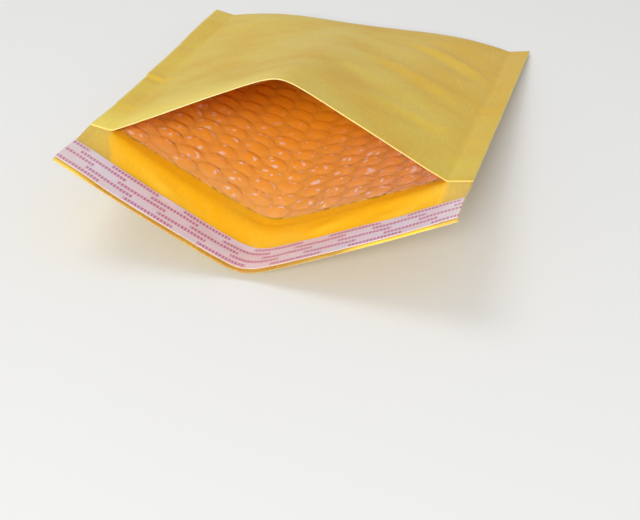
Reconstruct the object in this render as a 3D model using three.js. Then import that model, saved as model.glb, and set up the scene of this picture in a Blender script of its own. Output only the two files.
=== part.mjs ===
// A padded mailing envelope with its mouth open, lying on its back panel.
// Millimetres. X runs across the width. Y runs along the length, with the folded
// end at +Y and the mouth and flap at -Y. Z is up from the surface it lies on.
//
// Every surface is first worked out on the flat sheet, by two distances:
// u across it from the middle, and s along it from the folded end.
// They are laid in a frame whose XY plane holds the outer edges of the side seams,
// and the finished envelope is then tilted until it rests.

import * as THREE from "three";
import { mergeVertices } from "three/addons/utils/BufferGeometryUtils.js";

// Paper sheet
const ENVELOPE_WIDTH = 150;
const BODY_LENGTH = 180;
const PAPER = 0.3;
const SEAM_WIDTH = 9;
const SEAM_DIP = 1.4;

// Shape of the opened pocket
const MOUTH_RISE = 27;
const RIDGE_OFFSET = -1.5;
const RIDGE_ROUNDING = 6;
const FOLD_BOW = 3.5;
const FOLD_WAVE = 0.9;
const PAD_HALF = 2.4;
const FOLD_DEPTH = 24;

// Flap
const FLAP_BARE = 16;
const FLAP_BORDER = 1.6;
const FLAP_RISE = 31;
const BORDER_CURL = THREE.MathUtils.degToRad(60);

// Bubble film
const FILM = 0.25;
const FILM_CLEARANCE = 0.3;
const FILM_SEAM_SETBACK = 2;
const FILM_MOUTH_SETBACK = 5;
const FILM_FOLD_GAP = 3;
const FILM_FOLD_DEPTH = 3;
const BUBBLES_ACROSS = 13;
const BUBBLES_ALONG = 19;
const BUBBLE_HEIGHT = 3.4;
const CROWN_WIDTH = 0.66;
const LEAST_BUBBLE = 0.08;
const BUBBLE_CLEARANCE = 0.15;

// Adhesive strip and its peel-off liner
const LINER_WIDTH = 18;
const LINER = 0.2;
const ADHESIVE_WIDTH = 12;
const ADHESIVE = 0.2;
const ADHESIVE_END_GAP = 3;
const STRIP_CLEARANCE = 0.1;

// How finely the curved surfaces are followed
const FOLD_STEPS = 4;
const BODY_STEPS = 6;
const FLAP_STEPS = 3;
const NORMAL_REACH = 0.25;
const TILT_PASSES = 12;

// Sizes that follow from those above
const HALF_WIDTH = ENVELOPE_WIDTH / 2;
const HALF_PANEL = HALF_WIDTH - SEAM_WIDTH;
const MOUTH_HALF = Math.sqrt(HALF_PANEL ** 2 - MOUTH_RISE ** 2);
const FLAP_HALF = Math.sqrt(HALF_WIDTH ** 2 - FLAP_RISE ** 2);
const FLAP_LENGTH = FLAP_BARE + LINER_WIDTH + FLAP_BORDER;
const FILM_HALF = HALF_PANEL - FILM_SEAM_SETBACK;
const FILM_START = FILM_FOLD_GAP + FILM_FOLD_DEPTH;
const FILM_END = BODY_LENGTH - FILM_MOUTH_SETBACK;
const HALF_ROWS = 2 * BUBBLES_ALONG;

const FRONT = 1;
const BACK = -1;
const MIDDLE = 0;

const { lerp, smoothstep } = THREE.MathUtils;

// A tent with a rounded ridge: 1 on the ridge, 0 at both ends of its width
function tent(across, rounding) {
  const drop = Math.hypot(across, rounding) - rounding;
  const fullDrop = Math.hypot(1, rounding) - rounding;
  return 1 - drop / fullDrop;
}

// The same tent with its ridge a little to one side of the middle
function offsetTent(across, halfWidth) {
  const shift = RIDGE_OFFSET / halfWidth;
  const fromRidge = across - shift;
  const reach = 1 - Math.sign(fromRidge) * shift;
  return tent(fromRidge / reach, RIDGE_ROUNDING / halfWidth);
}

// Half of the pocket's depth where the padding keeps the panels apart
function padding(across, s) {
  const towardFold = Math.max(0, 1 - Math.max(s, 0) / FOLD_DEPTH);
  const foldRounding = Math.sqrt(1 - towardFold ** 2);
  return PAD_HALF * foldRounding * Math.sqrt(1 - across ** 4);
}

// Half the distance between the side seams, which the opened panels draw inward
function seamDistance(s) {
  return lerp(HALF_PANEL, MOUTH_HALF, s / BODY_LENGTH);
}

// Half of the pocket's depth, from its middle surface to the paper
function halfDepth(u, s) {
  const across = THREE.MathUtils.clamp(u / HALF_PANEL, -1, 1);
  const along = s / BODY_LENGTH;
  return padding(across, s) * (1 - along) + MOUTH_RISE * along * offsetTent(across, HALF_PANEL);
}

// A point of the side seam's middle plane, which the front and back share
function seamPoint(u, s) {
  const outward = Math.abs(u) - HALF_PANEL;
  const levelShare = Math.sqrt(1 - (SEAM_DIP / SEAM_WIDTH) ** 2);
  const x = Math.sign(u) * (seamDistance(s) + outward * levelShare);
  return new THREE.Vector3(x, -s, SEAM_DIP * (outward / SEAM_WIDTH - 1));
}

// A point of the paper's inner face in the pocket, or of the pocket's middle surface
function pocketPoint(u, s, side) {
  if (Math.abs(u) >= HALF_PANEL) return seamPoint(u, s);
  const across = u / HALF_PANEL;
  const bow = FOLD_BOW * (1 - across ** 2) - FOLD_WAVE * Math.cos(1.5 * Math.PI * across);
  const slope = (MOUTH_RISE / BODY_LENGTH) * offsetTent(across, HALF_PANEL);
  return new THREE.Vector3(
    across * seamDistance(s),
    -s * Math.sqrt(1 - slope ** 2),
    -SEAM_DIP + bow * (1 - s / BODY_LENGTH) + side * halfDepth(u, s),
  );
}

// A point of the flap's upper face, at a distance beyond the mouth
function flapPoint(u, beyond) {
  const mouth = pocketPoint(u, BODY_LENGTH, BACK);
  const settled = smoothstep(beyond, 0, FLAP_BARE);
  const gullyX = (u / HALF_WIDTH) * FLAP_HALF;
  const gullyZ = -FLAP_RISE * offsetTent(u / HALF_WIDTH, HALF_WIDTH);
  const curlRadius = FLAP_BORDER / BORDER_CURL;
  const curled = Math.max(0, beyond - FLAP_BARE - LINER_WIDTH) / curlRadius;
  const level = Math.min(beyond, FLAP_BARE + LINER_WIDTH);
  return new THREE.Vector3(
    lerp(mouth.x, gullyX, settled),
    mouth.y - level - curlRadius * Math.sin(curled),
    lerp(mouth.z, gullyZ, settled) - curlRadius * (1 - Math.cos(curled)),
  );
}

function frontPoint(u, s) {
  return pocketPoint(u, s, FRONT);
}

// The back panel and the flap as one surface along the sheet
function backPoint(u, s) {
  return s > BODY_LENGTH ? flapPoint(u, s - BODY_LENGTH) : pocketPoint(u, s, BACK);
}

// The unit vector square to a surface, to the side that +X turned to -Y looks at
function surfaceNormal(surface, u, s) {
  const across = surface(u + NORMAL_REACH, s).sub(surface(u - NORMAL_REACH, s));
  const along = surface(u, s + NORMAL_REACH).sub(surface(u, s - NORMAL_REACH));
  return across.cross(along).normalize();
}

// A point at a distance outside the paper's inner face, or inside it if negative
function offsetPoint(surface, u, s, side, distance) {
  const normal = surfaceNormal(surface, u, s);
  return surface(u, s).addScaledVector(normal, -side * distance);
}

function outerPoint(u, s, side) {
  const surface = side === FRONT ? frontPoint : backPoint;
  return offsetPoint(surface, u, s, side, PAPER);
}

// A point of the film, by its depth in from the face that lies against the paper
function liningPoint(u, s, side, depth) {
  const surface = side === FRONT ? frontPoint : backPoint;
  return offsetPoint(surface, u, s, side, -FILM_CLEARANCE - depth);
}

// A closed skin, gathered triangle by triangle
class Skin {
  constructor() {
    this.corners = [];
  }

  triangle(a, b, c, turned = false) {
    this.corners.push(a, turned ? c : b, turned ? b : c);
  }

  quad(a, b, c, d, turned = false) {
    this.triangle(a, b, c, turned);
    this.triangle(a, c, d, turned);
  }

  // Quads between rows of points, facing up where rows run to +Y and points to +X
  grid(rows, turned = false) {
    for (let i = 0; i + 1 < rows.length; i += 1) {
      for (let j = 0; j + 1 < rows[i].length; j += 1) {
        this.quad(rows[i][j], rows[i][j + 1], rows[i + 1][j + 1], rows[i + 1][j], turned);
      }
    }
  }

  geometry() {
    const loose = new THREE.BufferGeometry().setFromPoints(this.corners);
    const whole = mergeVertices(loose, 1e-5);
    whole.computeVertexNormals();
    return whole;
  }
}

const column = (rows, index) => rows.map((row) => row.at(index));
const evenSteps = (start, end, count) =>
  Array.from({ length: count + 1 }, (_, i) => lerp(start, end, i / count));

// The lines of film between columns of bubbles, and its stations, half a bubble apart
const filmLines = evenSteps(-FILM_HALF, FILM_HALF, BUBBLES_ACROSS);
const filmStations = evenSteps(FILM_START, FILM_END, HALF_ROWS);

// The paper's columns, of which every other one follows a line of the film
const panelColumns = [-HALF_PANEL, ...evenSteps(-FILM_HALF, FILM_HALF, 2 * BUBBLES_ACROSS), HALF_PANEL];
const sheetColumns = [-HALF_WIDTH, ...panelColumns, HALF_WIDTH];

// The body's stations along the length, close together where the fold is round
const foldAngles = evenSteps(0, Math.PI / 2, FOLD_STEPS);
const foldStations = foldAngles.map((angle) => FOLD_DEPTH * (1 - Math.cos(angle)));
const bodyStations = [...foldStations, ...evenSteps(FOLD_DEPTH, BODY_LENGTH, BODY_STEPS).slice(1)];
const flapStations = [
  ...evenSteps(0, FLAP_BARE, FLAP_STEPS),
  FLAP_BARE + LINER_WIDTH / 2,
  ...evenSteps(FLAP_BARE + LINER_WIDTH, FLAP_LENGTH, FLAP_STEPS),
].slice(1);

// Paper: one sheet folded at the far end, its two layers welded along the side seams
function kraftEnvelope() {
  const skin = new Skin();
  const level = new THREE.Vector3(0, 0, PAPER);
  const foldLine = sheetColumns.map((u) => pocketPoint(u, 0, MIDDLE));
  const foldNose = foldLine.map((point) => point.clone().add(new THREE.Vector3(0, PAPER, 0)));
  const outerRow = (s, side) => sheetColumns.map((u) => outerPoint(u, s, side));
  const innerRow = (s, side) => sheetColumns.map((u) => pocketPoint(u, s, side));
  const pastFold = bodyStations.slice(1);

  const frontOuter = [
    ...pastFold.map((s) => outerRow(s, FRONT)).reverse(),
    foldLine.map((point) => point.clone().add(level)),
  ];
  const backOuter = [
    foldLine.map((point) => point.clone().sub(level)),
    ...pastFold.map((s) => outerRow(s, BACK)),
  ];
  const frontInner = [...bodyStations].reverse().map((s) => innerRow(s, FRONT));
  const backInner = bodyStations.map((s) => innerRow(s, BACK));
  const flapOuter = flapStations.map((beyond) => outerRow(BODY_LENGTH + beyond, BACK));
  const flapInner = flapStations.map((beyond) => sheetColumns.map((u) => flapPoint(u, beyond)));

  // Outside of the sheet, from the front lip round the fold to the flap's end
  skin.grid([...frontOuter, foldNose, ...backOuter, ...flapOuter]);

  // Inside of the pocket, which ends at the seams, and the flap's upper face
  const betweenSeams = (row) => row.slice(1, -1);
  skin.grid([...frontInner, ...backInner.slice(1)].map(betweenSeams), true);
  skin.grid([backInner.at(-1), ...flapInner], true);

  // Cut edges at the front lip and at the flap's end
  skin.grid([frontInner[0], frontOuter[0]]);
  skin.grid([flapOuter.at(-1), flapInner.at(-1)]);

  // Cut edges along both sides
  for (const edge of [0, -1]) {
    const turned = edge === 0;
    const back = column([...backOuter, ...flapOuter].reverse(), edge);
    const middle = column([...backInner, ...flapInner].reverse(), edge);
    const front = column(frontOuter, edge);
    skin.grid([back, middle], turned);
    skin.grid([middle.slice(-front.length), front], turned);
    skin.triangle(back.at(-1), foldNose.at(edge), middle.at(-1), turned);
    skin.triangle(middle.at(-1), foldNose.at(edge), front.at(-1), turned);
  }
  return skin.geometry();
}

// How far a bubble may stand into the pocket before it meets the one opposite
function bubbleRoom(u, s) {
  return halfDepth(u, s) - FILM_CLEARANCE - FILM - BUBBLE_CLEARANCE;
}

function bubblePoint([u, s], side, height) {
  const room = Math.max(bubbleRoom(u, s), LEAST_BUBBLE);
  return liningPoint(u, s, side, FILM + Math.min(height, room));
}

function average(places) {
  return [0, 1].map((i) => places.reduce((sum, place) => sum + place[i], 0) / places.length);
}

function between(from, to, share) {
  return [0, 1].map((i) => lerp(from[i], to[i], share));
}

// One bubble: its cell of film rises to a six-sided crown
function addBubble(skin, outline, side) {
  const turned = side === BACK;
  const centre = average(outline);
  const next = (i) => (i + 1) % outline.length;
  const flat = outline.map((place) => bubblePoint(place, side, 0));
  const crown = outline.map((place, i) => {
    const edgeMiddle = average([place, outline[next(i)]]);
    return bubblePoint(between(centre, edgeMiddle, CROWN_WIDTH), side, BUBBLE_HEIGHT);
  });
  outline.forEach((_, i) => {
    skin.triangle(flat[i], flat[next(i)], crown[i], turned);
    skin.triangle(crown[i], flat[next(i)], crown[next(i)], turned);
  });
  for (let i = 1; i + 1 < crown.length; i += 1) {
    skin.triangle(crown[0], crown[i], crown[i + 1], turned);
  }
}

// A column of bubbles between two lines of the film. Every other column is shifted
// by half a bubble, and has a flat half cell at both ends.
function addBubbleColumn(skin, columnIndex, side) {
  const left = filmStations.map((s) => [filmLines[columnIndex], s]);
  const right = filmStations.map((s) => [filmLines[columnIndex + 1], s]);
  const shifted = columnIndex % 2;
  for (let k = shifted; k + 2 <= HALF_ROWS; k += 2) {
    const outline = [left[k], right[k], right[k + 1], right[k + 2], left[k + 2], left[k + 1]];
    addBubble(skin, outline, side);
  }
  if (!shifted) return;
  for (const k of [0, HALF_ROWS - 1]) {
    const corners = [left[k], right[k], right[k + 1], left[k + 1]];
    skin.quad(...corners.map((place) => bubblePoint(place, side, 0)), side === BACK);
  }
}

// Bubble film: one sheet folded at the far end inside the paper, bubbles inward
function bubbleLining() {
  const skin = new Skin();
  const face = (side, depth) =>
    filmStations.map((s) => filmLines.map((u) => liningPoint(u, s, side, depth)));
  const nose = (s) => filmLines.map((u) => pocketPoint(u, s, MIDDLE));
  const outsideNose = nose(FILM_FOLD_GAP);
  const insideNose = nose(FILM_FOLD_GAP + FILM);

  const outside = [...face(FRONT, 0).reverse(), outsideNose, ...face(BACK, 0)];
  const inside = [...face(FRONT, FILM).reverse(), insideNose, ...face(BACK, FILM)];
  skin.grid(outside);
  skin.grid(inside.slice(HALF_ROWS, HALF_ROWS + 3), true);
  for (const side of [FRONT, BACK]) {
    for (let k = 0; k < BUBBLES_ACROSS; k += 1) addBubbleColumn(skin, k, side);
  }

  skin.grid([inside[0], outside[0]]);
  skin.grid([outside.at(-1), inside.at(-1)]);
  skin.grid([column(inside, 0), column(outside, 0)], true);
  skin.grid([column(inside, -1), column(outside, -1)]);
  return skin.geometry();
}

// A thin strip laid along the flap, between two heights above its upper face
function flapStrip(start, end, halfLength, bottom, top) {
  const skin = new Skin();
  const places = [-halfLength, ...panelColumns.filter((u) => Math.abs(u) < halfLength), halfLength];
  const stations = [start, (start + end) / 2, end].map((beyond) => BODY_LENGTH + beyond);
  const layer = (height) =>
    stations.map((s) => places.map((u) => offsetPoint(backPoint, u, s, BACK, -height)));
  const lower = layer(bottom);
  const upper = layer(top);
  skin.grid(lower);
  skin.grid(upper, true);
  skin.grid([upper[0], lower[0]]);
  skin.grid([lower.at(-1), upper.at(-1)]);
  skin.grid([column(lower, 0), column(upper, 0)]);
  skin.grid([column(upper, -1), column(lower, -1)]);
  return skin.geometry();
}

function adhesiveStrip() {
  const start = FLAP_BARE + (LINER_WIDTH - ADHESIVE_WIDTH) / 2;
  const bottom = STRIP_CLEARANCE;
  const end = start + ADHESIVE_WIDTH;
  return flapStrip(start, end, HALF_WIDTH - ADHESIVE_END_GAP, bottom, bottom + ADHESIVE);
}

function releaseLiner() {
  const bottom = ADHESIVE + 2 * STRIP_CLEARANCE;
  return flapStrip(FLAP_BARE, FLAP_BARE + LINER_WIDTH, HALF_WIDTH, bottom, bottom + LINER);
}

// The tilt about X at which the folded end and the mouth end stand equally low
function restingTilt(geometry) {
  const points = geometry.getAttribute("position");
  const widthAxis = new THREE.Vector3(1, 0, 0);
  const bodyMiddle = -BODY_LENGTH / 2;
  let tilt = 0;
  for (let pass = 0; pass < TILT_PASSES; pass += 1) {
    let fold = new THREE.Vector3(0, 0, Infinity);
    let mouth = new THREE.Vector3(0, 0, Infinity);
    for (let i = 0; i < points.count; i += 1) {
      const point = new THREE.Vector3().fromBufferAttribute(points, i);
      const nearFold = point.y > bodyMiddle;
      point.applyAxisAngle(widthAxis, -tilt);
      if (nearFold && point.z < fold.z) fold = point;
      if (!nearFold && point.z < mouth.z) mouth = point;
    }
    tilt += Math.atan2(fold.z - mouth.z, fold.y - mouth.y);
  }
  return tilt;
}

const materials = {
  kraft: new THREE.MeshStandardMaterial({ color: 0xe8b83a, roughness: 0.62, metalness: 0 }),
  film: new THREE.MeshStandardMaterial({ color: 0xf3a64e, roughness: 0.22, metalness: 0 }),
  adhesive: new THREE.MeshStandardMaterial({ color: 0xe9dfb8, roughness: 0.35, metalness: 0 }),
  liner: new THREE.MeshStandardMaterial({ color: 0xe6dee6, roughness: 0.4, metalness: 0 }),
};

function part(name, geometry, material) {
  const mesh = new THREE.Mesh(geometry, material);
  mesh.name = name;
  return mesh;
}

const paper = kraftEnvelope();
const envelope = new THREE.Group();
envelope.add(
  part("kraft_envelope", paper, materials.kraft),
  part("bubble_lining", bubbleLining(), materials.film),
  part("adhesive_strip", adhesiveStrip(), materials.adhesive),
  part("release_liner", releaseLiner(), materials.liner),
);
envelope.rotation.x = -restingTilt(paper);

// Stand it on z = 0 with the middle of its outline at the origin
const extent = new THREE.Box3().setFromObject(envelope, true);
const centre = extent.getCenter(new THREE.Vector3());
envelope.position.set(-centre.x, -centre.y, -extent.min.z);

const paddedEnvelope = new THREE.Group();
paddedEnvelope.add(envelope);

export default paddedEnvelope;
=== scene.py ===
import math
import random

import bmesh
import bpy
from bpy.props import FloatProperty, FloatVectorProperty, IntProperty, PointerProperty
from mathutils import Matrix, Vector, noise


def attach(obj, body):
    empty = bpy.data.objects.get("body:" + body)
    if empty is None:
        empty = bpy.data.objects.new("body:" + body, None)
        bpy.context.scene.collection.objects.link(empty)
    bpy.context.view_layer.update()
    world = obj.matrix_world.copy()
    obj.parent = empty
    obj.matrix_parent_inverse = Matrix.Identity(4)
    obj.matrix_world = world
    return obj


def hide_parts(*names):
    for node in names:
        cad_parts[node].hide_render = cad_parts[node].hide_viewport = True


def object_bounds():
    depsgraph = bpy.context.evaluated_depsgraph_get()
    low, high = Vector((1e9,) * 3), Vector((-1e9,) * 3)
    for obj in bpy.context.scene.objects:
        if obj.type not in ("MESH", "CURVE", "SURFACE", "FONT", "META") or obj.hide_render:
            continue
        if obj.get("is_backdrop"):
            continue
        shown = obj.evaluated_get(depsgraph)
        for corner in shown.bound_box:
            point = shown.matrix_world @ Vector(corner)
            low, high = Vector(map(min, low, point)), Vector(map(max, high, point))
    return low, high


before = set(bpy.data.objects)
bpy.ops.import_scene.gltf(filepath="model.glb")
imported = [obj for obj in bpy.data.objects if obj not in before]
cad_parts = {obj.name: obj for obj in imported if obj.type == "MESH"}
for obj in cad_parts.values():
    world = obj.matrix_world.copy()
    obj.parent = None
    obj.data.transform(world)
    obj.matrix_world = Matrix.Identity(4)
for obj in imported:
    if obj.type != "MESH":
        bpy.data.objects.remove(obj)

CAD_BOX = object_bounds()

bl_info = {
    "name": "Padded envelope",
    "version": (1, 0, 0),
    "blender": (4, 5, 0),
    "location": "3D View > Sidebar > Envelope",
    "description": "A padded mailing envelope with its mouth open, and its stage",
    "category": "Add Mesh",
}

MM = 0.001
SEED = 7
# Edges with a wider angle between their faces are shaded sharp
SHARP = math.radians(55)


def length(name, millimetres, description):
    return FloatProperty(
        name=name,
        description=description,
        default=millimetres * MM,
        unit="LENGTH",
        precision=5,
    )


def colour(name, hexadecimal, description):
    """A colour property whose default is given as an sRGB hex number."""
    return FloatVectorProperty(
        name=name,
        description=description,
        default=linear(hexadecimal),
        subtype="COLOR",
        size=3,
        min=0,
        max=1,
    )


def linear(hexadecimal):
    """Linear red, green and blue of an sRGB hex number."""
    parts = [((hexadecimal >> shift) & 255) / 255 for shift in (16, 8, 0)]
    return tuple(c / 12.92 if c <= 0.04045 else ((c + 0.055) / 1.055) ** 2.4 for c in parts)


class EnvelopeSizes(bpy.types.PropertyGroup):
    width: length("Width", 150, "Across the envelope, over both side seams")
    body: length("Body length", 180, "From the folded end to the mouth")
    paper: length("Paper", 0.3, "Thickness of the paper")
    seam: length("Seam width", 9, "Width of each side seam")
    seam_dip: length("Seam dip", 1.4, "How far a seam's inner line lies below its outer edge")
    rise: length("Mouth rise", 27, "Half of the mouth's opening, from its middle to the ridge")
    ridge_offset: length("Ridge offset", -1.5, "How far the ridge lies from the middle")
    ridge_rounding: length("Ridge rounding", 6, "Rounding of the ridge and of the gully below it")
    bow: length("Fold bow", 3.5, "Height of the folded end's arch")
    wave: length("Fold wave", 0.9, "Height of the ripple in the folded end")
    pad: length("Half padding", 2.4, "Half of the closed pocket's thickness")
    fold_depth: length("Fold depth", 24, "Length over which the folded end swells")
    flap_bare: length("Bare flap", 16, "Flap between the mouth and the liner")
    flap_border: length("Flap border", 1.6, "Flap beyond the liner")
    flap_rise: length("Flap rise", 31, "Depth of the flap's gully")
    border_curl: FloatProperty(
        name="Border curl",
        description="Angle that the flap's border curls down by",
        default=math.radians(60),
        subtype="ANGLE",
    )
    tilt: FloatProperty(
        name="Resting tilt",
        description="Angle of the side seams above the surface it lies on",
        default=0.15174586,
        subtype="ANGLE",
    )
    fold_y: length("Fold place", 107.52968, "Distance of the folded end from the middle")
    fold_z: length("Fold height", 1.68046, "Height of the seam's outer edge at the folded end")


class FilmSizes(bpy.types.PropertyGroup):
    thickness: length("Film", 0.25, "Thickness of the film under its bubbles")
    clearance: length("Clearance", 0.3, "Gap between the paper and the film")
    seam_setback: length("Seam setback", 2, "From the seam's inner line to the film's edge")
    mouth_setback: length("Mouth setback", 5, "From the mouth to the back film's edge")
    lip_setback: length("Lip setback", 1.2, "From the lip to the front film's edge")
    fold_gap: length("Fold gap", 3, "From the folded end to the fold in the film")
    fold_depth: length("Fold depth", 3, "Length over which the film's fold opens")
    height: length("Bubble height", 3.4, "Height of a full bubble")
    across: IntProperty(name="Across", description="Columns of bubbles", default=13, min=3)
    along: IntProperty(name="Along", description="Bubbles in a column", default=19, min=3)


class StripSizes(bpy.types.PropertyGroup):
    liner_width: length("Liner width", 18, "Width of the peel-off liner")
    liner: length("Liner", 0.2, "Thickness of the liner")
    adhesive_width: length("Adhesive width", 12, "Width of the adhesive")
    adhesive: length("Adhesive", 0.2, "Thickness of the adhesive")
    end_gap: length("End gap", 3, "From the flap's side to the adhesive's end")
    clearance: length("Clearance", 0.1, "Gap under the adhesive and over it")


class EnvelopeColours(bpy.types.PropertyGroup):
    kraft: colour("Kraft", 0xDCBE40, "Outside of the paper")
    # Also used for painted shade on the right of the front panel
    kraft_brown_and_shade: colour("Warm kraft", 0xDAB03E, "Darker and browner patches of the outside")
    # Also used for painted light on the left of the front panel near the lip
    kraft_pale_and_lit: colour("Pale kraft", 0xF2DA60, "Rubbed and stretched places of the outside")
    inside: colour("Inside", 0xF4CA34, "Bare inner side of the paper")
    inside_deep: colour("Deep inside", 0xFBBC12, "Inner side next to the film")
    # Painted shade on the flap's curled border
    border: colour("Border", 0xB07818, "Flap's curled border in the middle of the width")
    cut: colour("Cut edge", 0xF6E2A8, "Cut edges of the paper")
    # Painted a little paler than the bubbles, as painted light against the shade between them
    valley: colour("Film", 0xFFC056, "Film between the bubbles")
    bubble: colour("Bubble", 0xFFBA44, "Film on the bubbles")
    # Partly the film's milkiness, partly a painted sheen
    milky_sheen: colour("Haze", 0xFFCAA8, "Milky film at the right and near the edge")
    # Painted shade with warm bounce light
    deep_film_shade: colour("Deep film", 0xFFA80C, "Film deep inside the pocket")
    # Painted highlights on the bubbles
    glint: colour("Bubble mark", 0xFFECE0, "Small pale marks on the bubbles")
    liner: colour("Liner", 0xE4DAE6, "Peel-off liner")
    liner_warm: colour("Warm liner", 0xE8D2D4, "Warmer patches of the liner")
    dash: colour("Dash", 0xC2528A, "Dashes printed on the liner")
    adhesive: colour("Adhesive", 0xE9DFB8, "Adhesive")
    floor: colour("Floor", 0xE9E9E8, "Floor near the object")
    backdrop: colour("Backdrop", 0xF2F2F1, "Floor and backdrop farther off")


# The form of the sheet


def mix(a, b, share):
    return a + (b - a) * share


def clamp(value, low=0.0, high=1.0):
    return max(low, min(high, value))


def smooth(value, low, high):
    share = clamp((value - low) / (high - low))
    return share * share * (3 - 2 * share)


# Creases in the front panel: from, to, half width, height and depth of the dark side,
# all in millimetres on the flat sheet, across and from the folded end
FRONT_CREASES = (
    ((20, 32), (68, 60), 4.6, 0.85, 0.62),
    ((12, 79), (62, 102), 5.2, 0.66, 0.46),
    ((22, 142), (64, 133), 5.0, 0.42, 0.30),
    ((-68, 45), (-39, 19), 4.0, 0.38, 0.24),
    ((-20, 60), (6, 48), 7.0, 0.24, 0.18),
    ((-52, 118), (-30, 88), 7.5, 0.22, 0.16),
    ((32, 18), (60, 31), 5.5, 0.20, 0.16),
    ((8, 108), (40, 122), 6.0, 0.22, 0.16),
)
# Creases that both layers of a side seam share
SEAM_CREASES = (
    ((-79, 111), (-58, 116), 2.4, 0.60, 0.45),
    ((-79, 62), (-60, 58), 3.0, 0.22, 0.15),
    ((58, 92), (79, 96), 3.0, 0.20, 0.14),
    ((58, 136), (79, 133), 3.0, 0.18, 0.12),
    ((58, 45), (79, 50), 3.0, 0.16, 0.12),
    ((-79, 150), (-60, 153), 3.0, 0.20, 0.14),
)
# Creases in the flap, by distance beyond the mouth
FLAP_CREASES = (
    ((-50, 6), (-30, 14), 3.0, 0.30, 0.20),
    ((14, 12), (34, 4), 3.2, 0.30, 0.20),
    ((40, 14), (58, 8), 2.6, 0.25, 0.20),
)

# Waves of the sheet: height, length across, length along and seed, in millimetres
SEAM_WAVES = ((0.28, 14, 17, 3.1), (0.10, 5, 4.6, 8.7))
FLAP_WAVES = ((0.40, 21, 15, 5.5), (0.10, 6, 5, 1.5))
PANEL_WAVES = ((0.42, 26, 33, 0.4), (0.16, 10, 12, 4.4), (0.05, 3.4, 3.9, 6.4))

# Where waves and creases fade, from and to, in millimetres across or along
SEAM_FADE = (54, 66)
PANEL_FADE = (56, 65.5)
FOLD_FADE = (0, 9)
FLAP_FADE = (0, 10)
FLAP_SIDE_FADE = (62, 75)
FLAP_SIDE_CALM = 0.5
LIP_FADE = 22
LIP_CALM = 0.55
MOUTH_FADE = 12

# The left edge is pulled in: by how much, and from and to along, in millimetres
LEFT_PULLS = ((1.0, 40, 80), (0.5, 108, 124))
# The share of it that is let go again, from and to along
LEFT_RELEASE = (0.4, 150, 182)
LEFT_REACH = (52, 75)


def wave_height(waves, u, s):
    """Height of the waves at a place on the sheet, in millimetres."""
    return sum(
        height * noise.noise(Vector((u / across, s / along, seed)))
        for height, across, along, seed in waves
    )


def crease_height(creases, u, s):
    """Height of the creases at a place on the sheet, in millimetres."""
    total = 0.0
    for (u0, s0), (u1, s1), half, height, dark in creases:
        run_u, run_s = u1 - u0, s1 - s0
        run = math.hypot(run_u, run_s)
        along = ((u - u0) * run_u + (s - s0) * run_s) / run
        off = ((s - s0) * run_u - (u - u0) * run_s) / run
        if abs(off) > 5 * half or not 0 < along < run:
            continue
        fade = math.sin(math.pi * along / run) ** 0.8
        total += fade * height * math.exp(-((off / half) ** 2))
        total -= fade * dark * math.exp(-(((off - 1.9 * half) / (1.2 * half)) ** 2))
    return total


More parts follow.
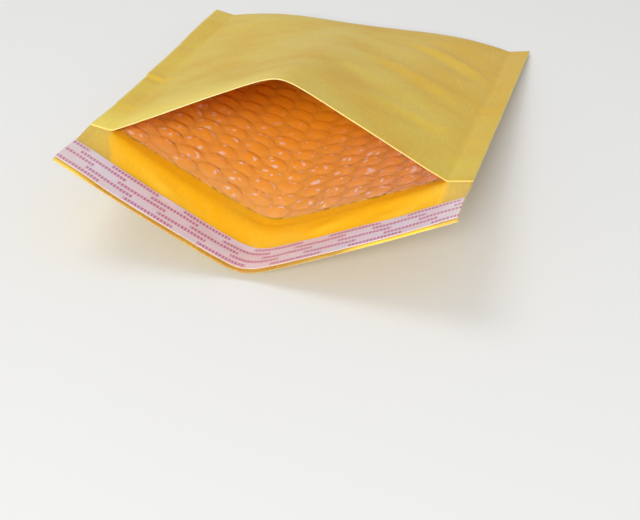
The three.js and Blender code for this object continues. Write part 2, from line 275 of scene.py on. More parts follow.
class SheetForm:
    """The paper's inner face as a surface over the flat sheet.

    u is the distance across from the middle. t is the distance along from the folded
    end, below zero on the front panel and above it on the back panel and the flap.
    """

    REACH = 0.25 * MM

    def __init__(self, sizes):
        self.sizes = sizes
        self.half_width = sizes.width / 2
        self.half_panel = self.half_width - sizes.seam
        self.mouth_half = math.sqrt(self.half_panel**2 - sizes.rise**2)
        self.flap_half = math.sqrt(self.half_width**2 - sizes.flap_rise**2)
        self.turn = Matrix.Rotation(-sizes.tilt, 3, "X")
        self.shift = Vector((0, sizes.fold_y, sizes.fold_z))

    def offset_tent(self, across, half_width):
        """A tent with a rounded ridge, a little to one side of the middle."""
        shift = self.sizes.ridge_offset / half_width
        rounding = self.sizes.ridge_rounding / half_width
        from_ridge = across - shift
        reach = 1 - shift if from_ridge > 0 else 1 + shift
        drop = math.hypot(from_ridge / reach, rounding) - rounding
        return 1 - drop / (math.hypot(1, rounding) - rounding)

    def half_depth(self, u, s):
        across = clamp(u / self.half_panel, -1, 1)
        along = s / self.sizes.body
        toward_fold = max(0.0, 1 - s / self.sizes.fold_depth)
        rounded = math.sqrt(max(0.0, 1 - toward_fold**2))
        padding = self.sizes.pad * rounded * math.sqrt(max(0.0, 1 - across**4))
        opening = self.sizes.rise * along * self.offset_tent(across, self.half_panel)
        return padding * (1 - along) + opening

    def pocket_point(self, u, s, side):
        sizes = self.sizes
        along = s / sizes.body
        weld = 0.02 * MM * math.sqrt(clamp(s / MM))
        seam_distance = mix(self.half_panel, self.mouth_half, along)
        if abs(u) >= self.half_panel:
            outward = abs(u) - self.half_panel
            level = math.sqrt(1 - (sizes.seam_dip / sizes.seam) ** 2)
            x = math.copysign(seam_distance + outward * level, u)
            return Vector((x, -s, sizes.seam_dip * (outward / sizes.seam - 1) + side * weld))
        across = u / self.half_panel
        bow = sizes.bow * (1 - across**2) - sizes.wave * math.cos(1.5 * math.pi * across)
        slope = sizes.rise / sizes.body * self.offset_tent(across, self.half_panel)
        z = -sizes.seam_dip + bow * (1 - along) + side * (self.half_depth(u, s) + weld)
        return Vector((across * seam_distance, -s * math.sqrt(1 - slope**2), z))

    def flap_point(self, u, beyond):
        sizes = self.sizes
        liner = self.liner_width
        mouth = self.pocket_point(u, sizes.body, -1)
        settled = smooth(beyond, 0, sizes.flap_bare)
        gully_x = u / self.half_width * self.flap_half
        gully_z = -sizes.flap_rise * self.offset_tent(u / self.half_width, self.half_width)
        radius = sizes.flap_border / sizes.border_curl
        curled = max(0.0, beyond - sizes.flap_bare - liner) / radius
        level = min(beyond, sizes.flap_bare + liner)
        return Vector((
            mix(mouth.x, gully_x, settled),
            mouth.y - level - radius * math.sin(curled),
            mix(mouth.z, gully_z, settled) - radius * (1 - math.cos(curled)),
        ))

    @property
    def liner_width(self):
        return bpy.context.scene.strip_sizes.liner_width

    @property
    def flap_length(self):
        return self.sizes.flap_bare + self.liner_width + self.sizes.flap_border

    def drawn_in(self, u, t):
        """The place across the sheet after the left edge is pulled in."""
        s = abs(t) / MM
        pull = sum(depth * smooth(s, start, end) for depth, start, end in LEFT_PULLS)
        let_go, start, end = LEFT_RELEASE
        pull *= 1 - let_go * smooth(s, start, end)
        return u + pull * MM * smooth(-u / MM, *LEFT_REACH)

    def plain_point(self, u, t):
        u = self.drawn_in(u, t)
        if t > self.sizes.body:
            return self.flap_point(u, t - self.sizes.body)
        return self.pocket_point(u, abs(t), -1 if t > 0 else 1)

    def normal(self, u, t):
        """The unit vector out of the envelope."""
        reach = self.REACH
        across = self.plain_point(u + reach, t) - self.plain_point(u - reach, t)
        along = self.plain_point(u, t + reach) - self.plain_point(u, t - reach)
        return across.cross(along).normalized()

    def shared_lift(self, u, s):
        """Height that both layers of the side seams are lifted by, in millimetres."""
        near_seam = smooth(abs(u), *SEAM_FADE)
        if near_seam == 0:
            return 0.0
        return near_seam * (wave_height(SEAM_WAVES, u, s) + crease_height(SEAM_CREASES, u, s))

    def swell(self, u, t):
        """How far the sheet stands out from the plain form, in millimetres."""
        s = abs(t)
        body = self.sizes.body / MM
        if t > body:
            beyond = t - body
            rough = wave_height(FLAP_WAVES, u, beyond) - crease_height(FLAP_CREASES, u, beyond)
            calm_sides = 1 - FLAP_SIDE_CALM * smooth(abs(u), *FLAP_SIDE_FADE)
            return rough * smooth(beyond, *FLAP_FADE) * calm_sides
        inside = 1 - smooth(abs(u), *PANEL_FADE)
        off_fold = smooth(s, *FOLD_FADE)
        rough = wave_height(PANEL_WAVES, u, t)
        if t < 0:
            rough += crease_height(FRONT_CREASES, u, s)
        calm_lip = 1 - LIP_CALM * smooth(s, body - LIP_FADE, body)
        return rough * inside * off_fold * calm_lip

    def place(self, u, t, out):
        """The finished place of a point that lies out from the paper's inner face."""
        normal = self.normal(u, t)
        grown = self.swell(u / MM, t / MM) * MM
        point = self.plain_point(u, t) + normal * (grown + out)
        if t <= self.sizes.body:
            point.z += self.shared_lift(u / MM, abs(t) / MM) * MM
        else:
            fade = 1 - smooth(t - self.sizes.body, 0, MOUTH_FADE * MM)
            point.z += self.shared_lift(u / MM, self.sizes.body / MM) * MM * fade
        return self.turn @ point + self.shift


def stations(start, end, count):
    """Evenly spaced places from the start to the end, with both of them."""
    return [mix(start, end, i / count) for i in range(count + 1)]


# Meshes


def flat_grid(columns, rows):
    """A grid of faces whose corners lie at the given places across and along."""
    bm = bmesh.new()
    count_x, count_y = len(columns) - 1, len(rows) - 1
    bmesh.ops.create_grid(bm, x_segments=count_x, y_segments=count_y, size=1)
    for vertex in bm.verts:
        i = round((vertex.co.x + 1) / 2 * count_x)
        j = round((vertex.co.y + 1) / 2 * count_y)
        vertex.co = (columns[i], rows[j], 0)
    return bm


def lay_on_form(bm, form, inward=0.0):
    """Moves flat points (across, along, height inward) on to the sheet's form.

    Each point's flat place is kept as the attribute sheet_place, and the direction into
    the envelope as sheet_facing. No point goes below the surface that it lies on.
    """
    place = bm.verts.layers.float_vector.new("sheet_place")
    facing = bm.verts.layers.float_vector.new("sheet_facing")
    for vertex in bm.verts:
        u, t, height = vertex.co
        vertex[place] = (u, t, height)
        vertex[facing] = -(form.turn @ form.normal(u, t))
        vertex.co = form.place(u, t, -inward - height)
        vertex.co.z = max(vertex.co.z, 0)


def finished_object(name, bm, materials, node):
    for face in bm.faces:
        face.smooth = True
    for edge in bm.edges:
        edge.smooth = len(edge.link_faces) != 2 or edge.calc_face_angle() < SHARP
    mesh = bpy.data.meshes.new(name)
    bm.to_mesh(mesh)
    bm.free()
    for material in materials:
        mesh.materials.append(material)
    piece = bpy.data.objects.new(name, mesh)
    bpy.context.scene.collection.objects.link(piece)
    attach(piece, "root")
    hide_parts(node)
    return piece


def give_wall(piece, thickness):
    """A wall inward from the faces, with the inner side and the cut edges in the
    second and third material."""
    wall = piece.modifiers.new("wall", "SOLIDIFY")
    wall.thickness = thickness
    wall.offset = -1
    wall.material_offset = 1
    wall.material_offset_rim = 2


# Materials


# A Mix node's sockets by data type: both inputs and the result
MIX_SOCKETS = {"RGBA": (6, 7, 2), "VECTOR": (4, 5, 1)}


class Shader:
    """Builds one material's nodes."""

    def __init__(self, name):
        self.material = bpy.data.materials.new(name)
        self.material.use_nodes = True
        self.tree = self.material.node_tree
        self.surface = self.tree.nodes["Principled BSDF"]

    def node(self, kind, **settings):
        made = self.tree.nodes.new(kind)
        for key, value in settings.items():
            setattr(made, key, value)
        return made

    def feed(self, socket, value):
        if isinstance(value, bpy.types.NodeSocket):
            self.tree.links.new(value, socket)
        elif socket.type == "RGBA":
            socket.default_value = (*value, 1)
        else:
            socket.default_value = value

    def math(self, operation, a, b=0.0, clamped=False):
        made = self.node("ShaderNodeMath", operation=operation, use_clamp=clamped)
        self.feed(made.inputs[0], a)
        self.feed(made.inputs[1], b)
        return made.outputs[0]

    def ramp(self, value, low, high, to_low=0.0, to_high=1.0):
        """A smooth step of a value between two levels."""
        made = self.node("ShaderNodeMapRange", interpolation_type="SMOOTHSTEP")
        for socket, given in zip(made.inputs, (value, low, high, to_low, to_high)):
            self.feed(socket, given)
        return made.outputs["Result"]

    def product(self, a, b, clamped=False):
        return self.math("MULTIPLY", a, b, clamped)

    def blend(self, share, first, second, data_type="RGBA"):
        made = self.node("ShaderNodeMix", data_type=data_type)
        into_first, into_second, result = MIX_SOCKETS[data_type]
        self.feed(made.inputs["Factor"], share)
        self.feed(made.inputs[into_first], first)
        self.feed(made.inputs[into_second], second)
        return made.outputs[result]

    def noise(self, vector, scale, detail=3.0, roughness=0.55, distortion=0.0):
        made = self.node("ShaderNodeTexNoise")
        self.feed(made.inputs["Vector"], vector)
        made.inputs["Scale"].default_value = scale
        made.inputs["Detail"].default_value = detail
        made.inputs["Roughness"].default_value = roughness
        made.inputs["Distortion"].default_value = distortion
        return made.outputs["Fac"]

    def stretch(self, vector, scale, rotation=(0, 0, 0)):
        made = self.node("ShaderNodeMapping")
        self.feed(made.inputs["Vector"], vector)
        made.inputs["Scale"].default_value = scale
        made.inputs["Rotation"].default_value = rotation
        return made.outputs["Vector"]

    def paper_fibres(self, place, turn):
        """Fibres a few millimetres long, all lying one way."""
        return self.noise(self.stretch(place, (1.0, 0.22, 1.0), (0, 0, turn)), 900, detail=2)

    def sheet_place(self):
        return self.node("ShaderNodeAttribute", attribute_name="sheet_place").outputs["Vector"]

    def object_place(self):
        return self.node("ShaderNodeTexCoord").outputs["Object"]

    def parts(self, vector):
        made = self.node("ShaderNodeSeparateXYZ")
        self.feed(made.inputs[0], vector)
        return made.outputs

    def bump(self, height, strength, distance, normal=None):
        made = self.node("ShaderNodeBump")
        made.inputs["Strength"].default_value = strength
        made.inputs["Distance"].default_value = distance
        self.feed(made.inputs["Height"], height)
        if normal is not None:
            self.feed(made.inputs["Normal"], normal)
        return made.outputs["Normal"]

    def finish(self, **sockets):
        for name, value in sockets.items():
            self.feed(self.surface.inputs[name.replace("_", " ")], value)
        return self.material


def kraft_outside(colours):
    shader = Shader("kraft_outside")
    place = shader.sheet_place()
    across, along, _ = shader.parts(place)
    patches = shader.noise(place, 28, detail=3)
    fibres = shader.paper_fibres(place, 0.5)
    grain = shader.noise(place, 2600, detail=2)
    base = shader.blend(shader.ramp(patches, 0.35, 0.7), colours.kraft, colours.kraft_brown_and_shade)
    # Partly browner paper, partly painted shade: the front panel's right half is darker toward
    # the folded end, on the ridge's side that faces away from the light
    right = shader.ramp(across, 0.0, 0.07)
    toward_fold = shader.ramp(along, -0.16, -0.02)
    browner_and_shaded = shader.product(right, toward_fold)
    base = shader.blend(shader.product(browner_and_shaded, 0.75), base, colours.kraft_brown_and_shade)
    # Partly paler paper, partly painted light: the front panel's left is paler near the lip,
    # where the paper turns toward the light
    near_lip = shader.ramp(along, -0.145, -0.18)
    left = shader.ramp(across, 0.012, -0.02)
    base = shader.blend(shader.product(near_lip, left), base, colours.kraft_pale_and_lit)
    base = shader.blend(shader.ramp(fibres, 0.5, 0.75, 0.0, 0.22), base, colours.kraft_pale_and_lit)
    base = shader.blend(shader.ramp(fibres, 0.48, 0.3, 0.0, 0.18), base, colours.kraft_brown_and_shade)
    edge = shader.ramp(shader.math("ABSOLUTE", across), 0.0738, 0.075)
    base = shader.blend(shader.product(edge, 0.5), base, colours.kraft_pale_and_lit)
    relief = shader.math("ADD", shader.product(fibres, 0.6), shader.product(grain, 0.4))
    cockle = shader.noise(place, 190, detail=3)
    normal = shader.bump(cockle, 0.35, 0.0004)
    normal = shader.bump(relief, 0.25, 0.00008, normal)
    roughness = shader.ramp(patches, 0.3, 0.7, 0.42, 0.56)
    return shader.finish(
        Base_Color=base, Roughness=roughness, Normal=normal, Specular_IOR_Level=0.22
    )


def kraft_inside(colours):
    shader = Shader("kraft_inside")
    place = shader.sheet_place()
    across, along, _ = shader.parts(place)
    size = bpy.context.scene.envelope_sizes
    half_panel = size.width / 2 - size.seam
    mouth = size.body
    patches = shader.noise(place, 40, detail=3)
    fibres = shader.paper_fibres(place, -0.4)
    beyond = shader.ramp(along, mouth + 0.004, mouth + 0.034)
    base = shader.blend(beyond, colours.inside_deep, colours.inside)
    wander = shader.product(shader.math("SUBTRACT", shader.noise(place, 45), 0.5), 0.006)
    # the flap's ends, beyond the pocket's width, are browner and less orange than its middle
    narrowing = shader.ramp(along, mouth, mouth + 0.02, 0.0, -0.006)
    left_edge = shader.math("ADD", shader.product(across, -1.0), wander)
    limit = shader.math("ADD", half_panel, narrowing)
    left = shader.ramp(shader.math("SUBTRACT", left_edge, limit), -0.0012, 0.0012)
    right_edge = shader.math("ADD", across, wander)
    right = shader.ramp(right_edge, half_panel - 0.0008, half_panel + 0.0016)
    bare = shader.math("MAXIMUM", left, right)
    base = shader.blend(bare, base, colours.kraft_brown_and_shade)
    # painted shade: the flap's curled border is dark ochre in the middle of the width, where it
    # curls away from the light
    border = shader.ramp(along, mouth + 0.0335, mouth + 0.0345)
    off_middle = shader.math("ABSOLUTE", shader.math("ADD", across, 0.012))
    middle = shader.ramp(off_middle, 0.056, 0.044)
    base = shader.blend(shader.product(border, middle), base, colours.border)
    base = shader.blend(shader.ramp(patches, 0.4, 0.75, 0.0, 0.35), base, colours.kraft)
    base = shader.blend(shader.ramp(fibres, 0.5, 0.75, 0.0, 0.2), base, colours.kraft_pale_and_lit)
    cockle = shader.noise(place, 220, detail=3)
    normal = shader.bump(cockle, 0.4, 0.0004)
    normal = shader.bump(fibres, 0.2, 0.00008, normal)
    roughness = shader.ramp(patches, 0.3, 0.7, 0.38, 0.52)
    return shader.finish(Base_Color=base, Roughness=roughness, Normal=normal)


def kraft_cut(colours):
    shader = Shader("kraft_cut_edge")
    place = shader.object_place()
    fibres = shader.noise(place, 2200, detail=2)
    base = shader.blend(shader.ramp(fibres, 0.35, 0.7, 0.0, 0.6), colours.cut, colours.kraft)
    normal = shader.bump(fibres, 0.4, 0.0001)
    return shader.finish(Base_Color=base, Roughness=0.75, Normal=normal)


# Share by which the film is shaded as a flat sheet and not by its bubbles' own sides
SOFTENING = 0.85


def bubble_film(colours):
    shader = Shader("bubble_film")
    place = shader.sheet_place()
    across, along, height = shader.parts(place)
    where = shader.object_place()
    mark = shader.node("ShaderNodeAttribute", attribute_name="painted_glint").outputs["Fac"]
    patches = shader.noise(where, 60, detail=2)
    crinkle = shader.noise(where, 420, detail=4, roughness=0.65, distortion=0.6)
    fine = shader.noise(where, 1500, detail=3, roughness=0.6)
    # painted light: the film between the bubbles is a little paler than on them, against the
    # shade that falls between the bubbles
    rise = shader.ramp(height, 0.0004, 0.0015)
    base = shader.blend(rise, colours.valley, colours.bubble)
    # paler and pinker toward the right and the film's edge, broken up by the crinkles: partly the
    # film's milkiness, partly a painted sheen where it catches more light
    outward = shader.ramp(across, -0.01, 0.06, 0.0, 0.6)
    near_edge = shader.ramp(along, 0.145, 0.176, 0.0, 0.35)
    crinkled = shader.ramp(crinkle, 0.4, 0.6, 0.2, 1.0)
    milky_sheen = shader.product(shader.math("ADD", outward, near_edge), crinkled)
    from_depth = shader.ramp(shader.math("ABSOLUTE", along), 0.08, 0.14)
    milky_sheen = shader.product(milky_sheen, from_depth, clamped=True)
    base = shader.blend(milky_sheen, base, colours.milky_sheen)
    # painted highlights: a few small pale glints on each bubble
    broken = shader.ramp(crinkle, 0.3, 0.6, 0.4, 1.2)
    glint_share = shader.ramp(shader.product(mark, broken), 0.22, 0.5)
    glint_share = shader.product(glint_share, from_depth)
    base = shader.blend(glint_share, base, colours.glint)
    # painted shade with warm bounce light: deeper orange far inside the pocket
    deep = shader.ramp(shader.math("ABSOLUTE", along), 0.14, 0.09)
    base = shader.blend(shader.product(deep, 0.8), base, colours.deep_film_shade)
    facets = shader.node("ShaderNodeTexVoronoi", feature="SMOOTH_F1")
    shader.feed(facets.inputs["Vector"], where)
    facets.inputs["Scale"].default_value = 380
    facets.inputs["Smoothness"].default_value = 0.3
    # light passes into each bubble, so its sides differ less than a solid's would
    facing = shader.node("ShaderNodeAttribute", attribute_name="sheet_facing").outputs["Vector"]
    own = shader.node("ShaderNodeNewGeometry").outputs["Normal"]
    softened = shader.blend(SOFTENING, own, facing, "VECTOR")
    normal = shader.bump(facets.outputs["Distance"], 0.12, 0.0006, softened)
    normal = shader.bump(crinkle, 0.25, 0.0006, normal)
    normal = shader.bump(fine, 0.15, 0.0001, normal)
    roughness = shader.ramp(patches, 0.35, 0.7, 0.10, 0.2)
    return shader.finish(
        Base_Color=base, Roughness=roughness, Normal=normal,
        Coat_Weight=0.2, Coat_Roughness=0.08,
    )


# Printed ticks: rows on the liner, and in metres along a row a tick's pitch, a group's
# pitch and how far each row is moved against the one before
TICK_ROWS = 5
TICK_PITCH = 0.00125
GROUP_PITCH = 0.0285
ROW_SHIFT = 0.0117


def printed_liner(colours):
    """Pale glazed paper with rows of fine even ticks in groups."""
    shader = Shader("printed_liner")
    place = shader.sheet_place()
    across, beyond, _ = shader.parts(place)
    size = bpy.context.scene.envelope_sizes
    strip = bpy.context.scene.strip_sizes
    start = size.body + size.flap_bare
    share = shader.math("DIVIDE", shader.math("SUBTRACT", beyond, start), strip.liner_width)
    row = shader.product(share, float(TICK_ROWS))
    index = shader.math("FLOOR", row)
    in_row = shader.math("SUBTRACT", row, index)
    bar = shader.ramp(shader.math("ABSOLUTE", shader.math("SUBTRACT", in_row, 0.5)), 0.31, 0.25)
    moved = shader.math("ADD", across, shader.product(index, ROW_SHIFT))
    # one metre more keeps the place positive, so that its fraction runs one way
    moved = shader.math("ADD", moved, 1.0)
    group = shader.math("FRACT", shader.math("DIVIDE", moved, GROUP_PITCH))
    in_group = shader.product(shader.ramp(group, 0.02, 0.04), shader.ramp(group, 0.70, 0.68))
    tick = shader.math("FRACT", shader.math("DIVIDE", moved, TICK_PITCH))
    in_tick = shader.ramp(shader.math("ABSOLUTE", shader.math("SUBTRACT", tick, 0.5)), 0.44, 0.34)
    uneven = shader.ramp(shader.noise(place, 1100, detail=1), 0.3, 0.55, 0.55, 1.0)
    ink = shader.product(shader.product(bar, in_group), shader.product(in_tick, uneven))
    patches = shader.noise(place, 30, detail=2)
    paper = shader.blend(shader.ramp(patches, 0.35, 0.65), colours.liner, colours.liner_warm)
    base = shader.blend(shader.product(ink, 0.85), paper, colours.dash)
    cockle = shader.noise(place, 150, detail=2)
    normal = shader.bump(cockle, 0.3, 0.0005)
    return shader.finish(Base_Color=base, Roughness=0.36, Normal=normal)


def adhesive_film(colours):
    shader = Shader("adhesive")
    place = shader.object_place()
    lumps = shader.noise(place, 500, detail=3)
    base = shader.blend(shader.ramp(lumps, 0.35, 0.7, 0.0, 0.4), colours.adhesive, colours.inside)
    normal = shader.bump(lumps, 0.5, 0.0003)
    return shader.finish(Base_Color=base, Roughness=0.3, Normal=normal)


def seen_share(tree):
    """1 for what is seen directly, in a reflection or through glass, otherwise 0."""
    paths = tree.nodes.new("ShaderNodeLightPath")
    first = tree.nodes.new("ShaderNodeMath")
    both = tree.nodes.new("ShaderNodeMath")
    first.operation = both.operation = "MAXIMUM"
    tree.links.new(paths.outputs["Is Camera Ray"], first.inputs[0])
    tree.links.new(paths.outputs["Is Glossy Ray"], first.inputs[1])
    tree.links.new(first.outputs[0], both.inputs[0])
    tree.links.new(paths.outputs["Is Transmission Ray"], both.inputs[1])
    return both.outputs[0]


# Operators


class ENVELOPE_OT_paper(bpy.types.Operator):
    """Adds the folded paper with its seams, creases and flap"""

    bl_idname = "envelope.paper"
    bl_label = "Paper"

    COLUMNS = 118
    FOLD_ROWS = 14
    PANEL_ROWS = 128
    FLAP_ROWS = 44

    def execute(self, context):
        sizes = context.scene.envelope_sizes
        colours = context.scene.envelope_colours
        form = SheetForm(sizes)
        half = form.half_width
        columns = stations(-half, half, self.COLUMNS)
        turns = stations(0, math.pi / 2, self.FOLD_ROWS)
        fold = [sizes.fold_depth * (1 - math.cos(turn)) for turn in turns]
        back = fold + stations(sizes.fold_depth, sizes.body, self.PANEL_ROWS)[1:]
        flap = [sizes.body + far for far in stations(0, form.flap_length, self.FLAP_ROWS)[1:]]
        rows = [-s for s in reversed(back[1:])] + back + flap
        bm = flat_grid(columns, rows)
        lay_on_form(bm, form, -sizes.paper)
        materials = [kraft_outside(colours), kraft_inside(colours), kraft_cut(colours)]
        piece = finished_object("kraft_paper", bm, materials, "kraft_envelope")
        give_wall(piece, sizes.paper)
        return {"FINISHED"}


class ENVELOPE_OT_film(bpy.types.Operator):
    """Adds the bubble film that lines the pocket"""

    bl_idname = "envelope.film"
    bl_label = "Bubble film"

    COLUMNS = 78
    FOLD_ROWS = 8
    PANEL_ROWS = 110

    # Faces round a bubble, and from its foot over its crown to the foot again
    RING = 12
    ARCH = 8

    # Least bubble, and the gap kept to the pocket's middle, in metres
    LEAST = 0.25 * MM
    MIDDLE_GAP = 0.3 * MM

    # How far a bubble may stand from its place across and along, in millimetres
    WANDER_ACROSS = 0.45
    WANDER_ALONG = 0.4
    FIRST_ROW_BACK = 0.9
    HEIGHTS = (0.86, 1.0)

    # The front's bubbles are pressed down to this share, from and to along the body
    LIP_SHARE = 0.3
    LIP_FROM, LIP_TO = 0.74, 0.96

    # A bubble's half widths as shares of the pitch, and how its width varies
    SPREAD_ACROSS = 0.55
    SPREAD_ALONG = 0.57
    WIDTHS = (0.9, 1.04)

    # Its crown: the powers of its curve, its unevenness, share of height and foot
    CROWN_POWERS = (2.3, 1.4)
    UNEVEN = (0.86, 1.06)
    LOWEST = 0.05
    HEIGHT_SHARE = 0.46
    FOOT = 0.6

    # Its dent: how far off the middle, how wide and at most how deep
    DENT_PLACE = 0.5
    DENT_WIDTH = 0.45
    DENT_DEPTH = 0.22

    # Its painted glints: how many, between which distances from the middle, how strong
    GLINT_SPOTS = 3
    GLINT_RING = (0.3, 0.8)
    GLINT_STRENGTHS = (0.5, 1.0)

    def bubble_places(self, form, film):
        """Where each bubble stands on the flat film, and how large it is."""
        body = form.sizes.body
        half = form.half_panel - film.seam_setback
        first = film.fold_gap + film.fold_depth
        last = body - film.mouth_setback
        pitch_u = 2 * half / film.across
        pitch_t = (last - first) / film.along
        rng = random.Random(SEED)
        for side in (-1, 1):
            for i in range(film.across):
                shifted = i % 2
                count = film.along - shifted + (1 if shifted and side < 0 else 0)
                for j in range(count):
                    u = -half + (i + 0.5) * pitch_u
                    u += rng.uniform(-self.WANDER_ACROSS, self.WANDER_ACROSS) * MM
                    s = first + (j + 0.5 + 0.5 * shifted) * pitch_t
                    s += rng.uniform(-self.WANDER_ALONG, self.WANDER_ALONG) * MM
                    if side < 0 and j == count - 1 and shifted:
                        s -= self.FIRST_ROW_BACK * MM
                    full = film.height
                    if side < 0:
                        near_lip = smooth(s, self.LIP_FROM * body, self.LIP_TO * body)
                        full *= mix(1, self.LIP_SHARE, near_lip)
                    room = form.half_depth(u, s) - film.clearance - film.thickness
                    room -= self.MIDDLE_GAP
                    height = min(full * rng.uniform(*self.HEIGHTS), room)
                    yield u, side * s, pitch_u, pitch_t, max(height, self.LEAST)

    def execute(self, context):
        sizes = context.scene.envelope_sizes
        film = context.scene.film_sizes
        colours = context.scene.envelope_colours
        form = SheetForm(sizes)
        half = form.half_panel - film.seam_setback
        first = film.fold_gap
        front_end = sizes.body - film.lip_setback
        back_end = sizes.body - film.mouth_setback
        turns = stations(0, math.pi / 2, self.FOLD_ROWS)
        fold = [first + film.fold_depth * 2 * (1 - math.cos(turn)) for turn in turns]
        front = fold + stations(fold[-1], front_end, self.PANEL_ROWS)[1:]
        back = fold + stations(fold[-1], back_end, self.PANEL_ROWS)[1:]
        rows = [-s for s in reversed(front)] + back[1:]
        bm = flat_grid(stations(-half, half, self.COLUMNS), rows)
        bmesh.ops.solidify(bm, geom=bm.faces[:], thickness=film.thickness)
        self.add_bubbles(bm, form, film)
        lay_on_form(bm, form, film.clearance)
        piece = finished_object("bubble_film", bm, [bubble_film(colours)], "bubble_lining")
        return {"FINISHED"}

    def bubble_mesh(self):
        """The upper half of a ball of radius 1, closed below."""
        bm = bmesh.new()
        bmesh.ops.create_uvsphere(bm, u_segments=self.RING, v_segments=self.ARCH, radius=1)
        lower = [v for v in bm.verts if v.co.z < -0.01]
        bmesh.ops.delete(bm, geom=lower, context="VERTS")
        rim = [e for e in bm.edges if e.is_boundary]
        bmesh.ops.holes_fill(bm, edges=rim, sides=self.RING)
        mesh = bpy.data.meshes.new("bubble")
        bm.to_mesh(mesh)
        bm.free()
        return mesh

    def add_bubbles(self, bm, form, film):
        """Stands a flattened and slightly dented bubble on each of the film's places."""
        bubble = self.bubble_mesh()
        places = list(self.bubble_places(form, film))
        first, count = len(bm.verts), len(bubble.vertices)
        mark = bm.verts.layers.float.new("painted_glint")
        for _ in places:
            bm.from_mesh(bubble)
        bm.verts.ensure_lookup_table()
        rng = random.Random(SEED)
        base = film.thickness
        sharpness, steepness = self.CROWN_POWERS
        for number, (u, t, pitch_u, pitch_t, height) in enumerate(places):
            off = self.DENT_PLACE
            dent = Vector((rng.uniform(-off, off), rng.uniform(-off, off)))
            depth = rng.uniform(0.0, self.DENT_DEPTH)
            stands = bm.verts[first + number * count : first + (number + 1) * count]
            # a few of the bubble's points carry painted highlights
            near, far = self.GLINT_RING
            inner = [v for v in stands if near < v.co.xy.length < far]
            for v in rng.sample(inner, self.GLINT_SPOTS):
                v[mark] = rng.uniform(*self.GLINT_STRENGTHS)
            width = rng.uniform(*self.WIDTHS)
            top = self.HEIGHT_SHARE * height + base * (1 - self.FOOT)
            for v in stands:
                out = v.co.xy.length
                crown = max(0.0, 1 - out**sharpness) ** steepness
                gone = depth * math.exp(-(((v.co.xy - dent).length / self.DENT_WIDTH) ** 2))
                uneven = rng.uniform(*self.UNEVEN)
                rise = 0 if out > 0.999 else max(self.LOWEST, crown * uneven - gone)
                v.co.x = u + v.co.x * pitch_u * self.SPREAD_ACROSS * width
                v.co.y = t + v.co.y * pitch_t * self.SPREAD_ALONG * width
                v.co.z = base * self.FOOT + rise * top
        bpy.data.meshes.remove(bubble)


class ENVELOPE_OT_strips(bpy.types.Operator):
    """Adds the adhesive and its peel-off liner on the flap"""

    bl_idname = "envelope.strips"
    bl_label = "Adhesive and liner"

    COLUMNS = 120
    ROWS = 14

    def strip(self, name, form, limits, half, bottom, thickness, material, node, slot):
        start, end = (form.sizes.body + form.sizes.flap_bare + far for far in limits)
        columns = stations(-half, half, self.COLUMNS)
        bm = flat_grid(columns, stations(start, end, self.ROWS))
        bmesh.ops.solidify(bm, geom=bm.faces[:], thickness=thickness)
        lay_on_form(bm, form, bottom)
        return finished_object(name, bm, [material], node)

    def execute(self, context):
        sizes = context.scene.strip_sizes
        colours = context.scene.envelope_colours
        form = SheetForm(context.scene.envelope_sizes)
        inset = (sizes.liner_width - sizes.adhesive_width) / 2
        self.strip(
            "adhesive_band", form, (inset, inset + sizes.adhesive_width),
            form.half_width - sizes.end_gap, sizes.clearance, sizes.adhesive,
            adhesive_film(colours), "adhesive_strip", "adhesive",
        )
        self.strip(
            "peel_liner", form, (0, sizes.liner_width),
            form.half_width, sizes.adhesive + 2 * sizes.clearance, sizes.liner,
            printed_liner(colours), "release_liner", "liner",
        )
        return {"FINISHED"}


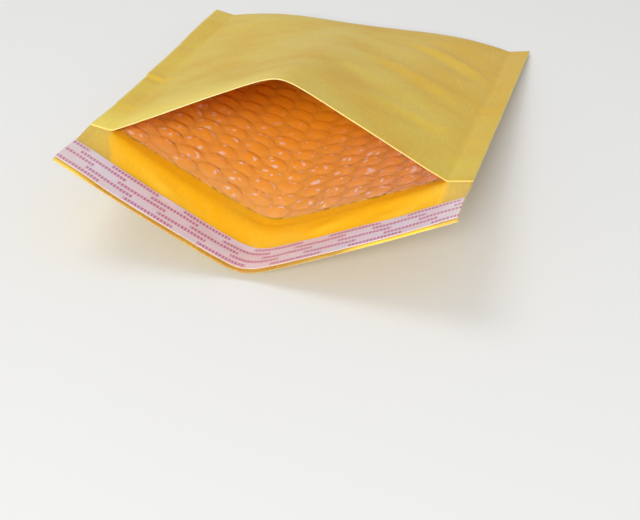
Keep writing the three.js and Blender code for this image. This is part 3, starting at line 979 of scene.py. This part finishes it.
class ENVELOPE_OT_stage(bpy.types.Operator):
    """Adds the floor, the lights, the world and the camera"""

    bl_idname = "envelope.stage"
    bl_label = "Stage"

    # Name, place, size in metres and power in watts
    LAMPS = (
        ("front", (0.04, -1.87, 0.94), 0.6, 37.5),
        ("top", (-0.9, 0.3, 1.8), 1.0, 9.5),
    )
    LAMP_AIM = Vector((0, -0.02, 0.02))
    WORLD_STRENGTH = 0.42

    FLOOR_RADIUS = 4
    FLOOR_SIDES = 96
    PATCH_TONE = 0.97
    # Distance from the middle at which the floor starts and ends turning into backdrop
    FLOOR_FADE = (0.3, 1.1)

    # Fitted to the photo
    LENS = 74.63
    SENSOR = 36
    CAMERA_PLACE = Vector((0.09702, -0.46553, 0.24961))
    CAMERA_FORWARD = Vector((-0.165, 0.8221, -0.5449))
    CAMERA_RIGHT = Vector((0.9734, 0.2248, 0.0443))

    def execute(self, context):
        self.add_floor(context)
        self.add_world(context)
        for lamp in self.LAMPS:
            self.add_lamp(*lamp)
        self.add_camera(context)
        context.scene.view_settings.view_transform = "Standard"
        return {"FINISHED"}

    def add_floor(self, context):
        """A round floor with the shadow near the object and plain backdrop farther off."""
        bm = bmesh.new()
        bmesh.ops.create_circle(
            bm, cap_ends=True, segments=self.FLOOR_SIDES, radius=self.FLOOR_RADIUS
        )
        mesh = bpy.data.meshes.new("floor")
        bm.to_mesh(mesh)
        bm.free()
        shader = Shader("floor")
        tone = context.scene.envelope_colours.floor
        patches = shader.noise(shader.object_place(), 3, detail=2)
        base = shader.blend(patches, tone, [self.PATCH_TONE * part for part in tone])
        shader.finish(Base_Color=base, Roughness=0.85)
        distance = shader.node("ShaderNodeVectorMath", operation="LENGTH")
        shader.feed(distance.inputs[0], shader.object_place())
        far = shader.ramp(distance.outputs["Value"], *self.FLOOR_FADE)
        plain = shader.node("ShaderNodeEmission")
        shader.feed(plain.inputs["Color"], context.scene.envelope_colours.backdrop)
        choose = shader.node("ShaderNodeMixShader")
        shader.feed(choose.inputs["Fac"], shader.product(far, seen_share(shader.tree)))
        shader.tree.links.new(shader.surface.outputs[0], choose.inputs[1])
        shader.tree.links.new(plain.outputs[0], choose.inputs[2])
        output = shader.tree.nodes["Material Output"]
        shader.tree.links.new(choose.outputs[0], output.inputs["Surface"])
        mesh.materials.append(shader.material)
        floor = bpy.data.objects.new("floor", mesh)
        context.scene.collection.objects.link(floor)
        floor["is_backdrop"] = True

    def add_world(self, context):
        world = bpy.data.worlds.new("soft_room")
        world.use_nodes = True
        nodes = world.node_tree.nodes
        nodes["Background"].inputs["Color"].default_value = (1, 1, 1, 1)
        nodes["Background"].inputs["Strength"].default_value = self.WORLD_STRENGTH
        seen = nodes.new("ShaderNodeBackground")
        seen.inputs["Color"].default_value = (*context.scene.envelope_colours.backdrop, 1)
        choose = nodes.new("ShaderNodeMixShader")
        links = world.node_tree.links
        links.new(seen_share(world.node_tree), choose.inputs["Fac"])
        links.new(nodes["Background"].outputs[0], choose.inputs[1])
        links.new(seen.outputs[0], choose.inputs[2])
        links.new(choose.outputs[0], nodes["World Output"].inputs["Surface"])
        context.scene.world = world

    def add_lamp(self, name, place, size, power):
        lamp = bpy.data.lights.new(name, "AREA")
        lamp.size = size
        lamp.energy = power
        holder = bpy.data.objects.new(name, lamp)
        holder.location = place
        aim = self.LAMP_AIM - Vector(place)
        holder.rotation_mode = "QUATERNION"
        holder.rotation_quaternion = aim.to_track_quat("-Z", "Y")
        bpy.context.scene.collection.objects.link(holder)

    def add_camera(self, context):
        lens = bpy.data.cameras.new("camera")
        lens.lens = self.LENS
        lens.sensor_width = self.SENSOR
        camera = bpy.data.objects.new("camera", lens)
        forward = self.CAMERA_FORWARD.normalized()
        right = self.CAMERA_RIGHT.normalized()
        up = right.cross(forward)
        axes = Matrix((right, up, -forward)).transposed()
        camera.matrix_world = Matrix.Translation(self.CAMERA_PLACE) @ axes.to_4x4()
        context.scene.collection.objects.link(camera)
        context.scene.camera = camera


class ENVELOPE_PT_panel(bpy.types.Panel):
    """Lists the envelope's operators"""

    bl_idname = "ENVELOPE_PT_panel"
    bl_label = "Padded envelope"
    bl_space_type = "VIEW_3D"
    bl_region_type = "UI"
    bl_category = "Envelope"

    def draw(self, context):
        for operator in OPERATORS:
            self.layout.operator(operator.bl_idname)
        for group in ("envelope_sizes", "film_sizes", "strip_sizes", "envelope_colours"):
            settings = getattr(context.scene, group)
            for name in settings.__annotations__:
                self.layout.prop(settings, name)


OPERATORS = (ENVELOPE_OT_paper, ENVELOPE_OT_film, ENVELOPE_OT_strips, ENVELOPE_OT_stage)
GROUPS = {
    "envelope_sizes": EnvelopeSizes,
    "film_sizes": FilmSizes,
    "strip_sizes": StripSizes,
    "envelope_colours": EnvelopeColours,
}
CLASSES = (*GROUPS.values(), *OPERATORS, ENVELOPE_PT_panel)


def register():
    for made in CLASSES:
        bpy.utils.register_class(made)
    for name, group in GROUPS.items():
        setattr(bpy.types.Scene, name, PointerProperty(type=group))


def unregister():
    for name in GROUPS:
        delattr(bpy.types.Scene, name)
    for made in reversed(CLASSES):
        bpy.utils.unregister_class(made)


def main():
    register()
    bpy.ops.envelope.paper()
    bpy.ops.envelope.film()
    bpy.ops.envelope.strips()
    bpy.ops.envelope.stage()
    bpy.context.view_layer.update()
    boxes = {"cad": CAD_BOX, "visual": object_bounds()}
    {name: [list(corner) for corner in box] for name, box in boxes.items()}


if __name__ == "__main__":
    main()
